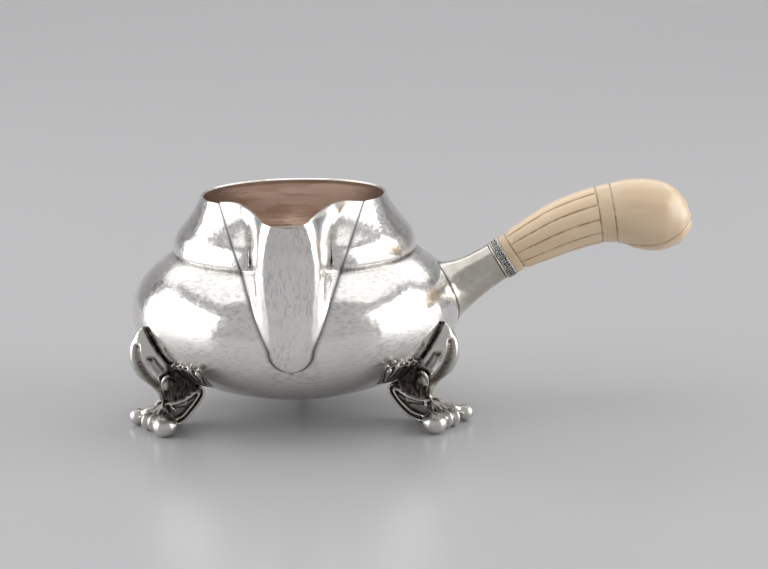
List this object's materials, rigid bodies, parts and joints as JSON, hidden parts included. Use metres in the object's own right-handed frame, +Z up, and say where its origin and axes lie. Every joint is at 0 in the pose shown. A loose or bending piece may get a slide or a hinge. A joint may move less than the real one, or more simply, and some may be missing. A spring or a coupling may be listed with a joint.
{
  "type": "sauce boat",
  "caption": "Round-bellied hammered silver sauce boat with a waisted collar, a wide pouring spout, cast paw feet and a carved ivory side handle.",
  "frame": {"origin": "on the table plane, on the vertical axis of the round vessel", "axes": "+Z up, the spout points along -Y, the handle along +X"},
  "size_m": [0.1872, 0.1184, 0.0754],
  "materials": {
    "hammered_silver": "polished, finely hammered, lightly tarnished at the edges",
    "cast_silver": "cast, chased and polished on its high places, dark in its hollows",
    "darkened_silver": "oxidised, with rubbed edges",
    "socket_silver": "satin polish",
    "ivory": "satin carved ivory, darker in the cuts"
  },
  "bodies": {
    "root": {"lower_bowl": "hammered_silver", "neck_collar": "hammered_silver", "spout": "hammered_silver", "foot_front_left": "cast_silver", "foot_front_right": "cast_silver", "foot_rear": "cast_silver", "leaf_mount_front_left": "darkened_silver", "leaf_mount_front_right": "darkened_silver", "leaf_mount_rear": "darkened_silver", "handle_socket": "socket_silver", "socket_bead": "socket_silver", "ferrule_band": "darkened_silver", "ivory_handle": "ivory", "handle_pin": "socket_silver"}
  },
  "joints": []
}
